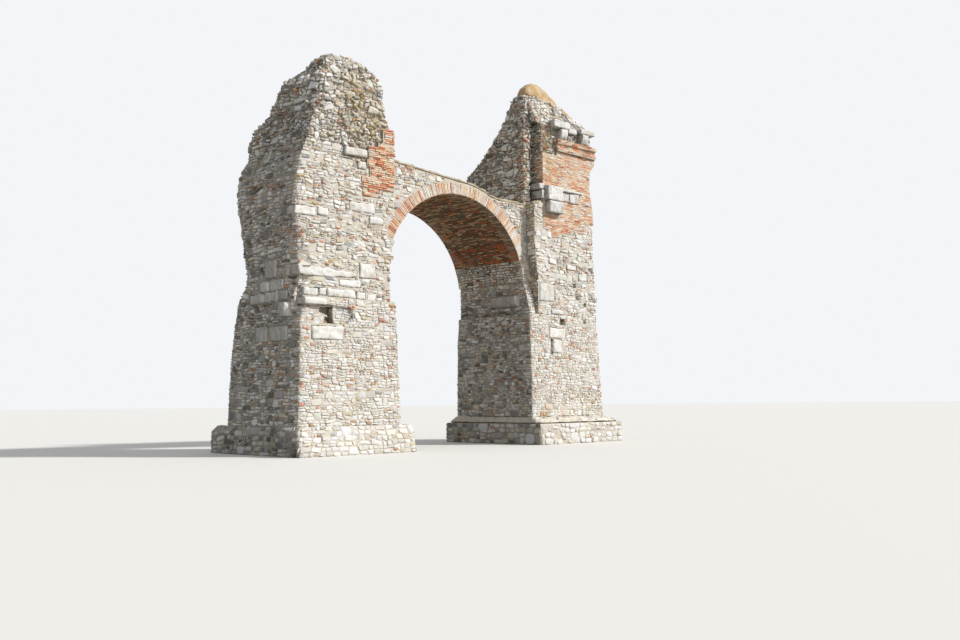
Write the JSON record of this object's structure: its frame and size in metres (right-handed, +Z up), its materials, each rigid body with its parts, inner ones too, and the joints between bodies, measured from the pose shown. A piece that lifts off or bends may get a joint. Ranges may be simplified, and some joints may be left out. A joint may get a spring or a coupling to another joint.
{
  "type": "ruined triumphal arch",
  "caption": "Ruin of a four-way triumphal arch: two rubble masonry piers on plinths, joined by one brick ring arch, with cut blocks, a brick facing and broken tops.",
  "frame": {"origin": "middle of the plan at ground level", "axes": "+X to the right along the front, +Y through the passage towards the back, +Z up"},
  "size_m": [15.7939, 5.2974, 14.3],
  "materials": {
    "rubble_left": "rough coursed limestone rubble in lime mortar",
    "rubble_right": "rough coursed limestone rubble in lime mortar",
    "core_rubble": "bare rubble core, deeply weathered",
    "cut_stone": "worn cut limestone blocks",
    "brick": "thin fired bricks in wide lime joints",
    "mortar": "smooth tan mortar"
  },
  "bodies": {
    "root": {"left_plinth": "rubble_left", "left_lower_shaft": "rubble_left", "left_upper_shaft": "rubble_left", "left_core": "core_rubble", "left_band_blocks": "cut_stone", "left_long_block": "cut_stone", "left_upright_block": "cut_stone", "left_low_block": "cut_stone", "left_side_blocks": "cut_stone", "left_corner_block": "cut_stone", "left_upper_blocks": "cut_stone", "left_brick_quoin": "brick", "right_plinth": "rubble_right", "right_weathering": "mortar", "right_lower_shaft": "rubble_right", "right_upper_shaft": "rubble_right", "right_core": "core_rubble", "right_brick_facing": "brick", "right_mortar_cap": "mortar", "right_impost_block": "cut_stone", "right_console_blocks": "cut_stone", "right_console_slabs": "cut_stone", "right_cornice_slabs": "cut_stone", "right_cornice_brackets": "cut_stone", "right_brick_course": "brick", "right_front_blocks": "cut_stone", "front_arch_ring": "brick", "back_arch_ring": "brick", "vault_left": "brick", "vault_crown": "core_rubble", "vault_right": "brick", "left_spandrel": "rubble_right", "right_spandrel": "rubble_right", "deck_mortar": "mortar"}
  },
  "joints": []
}
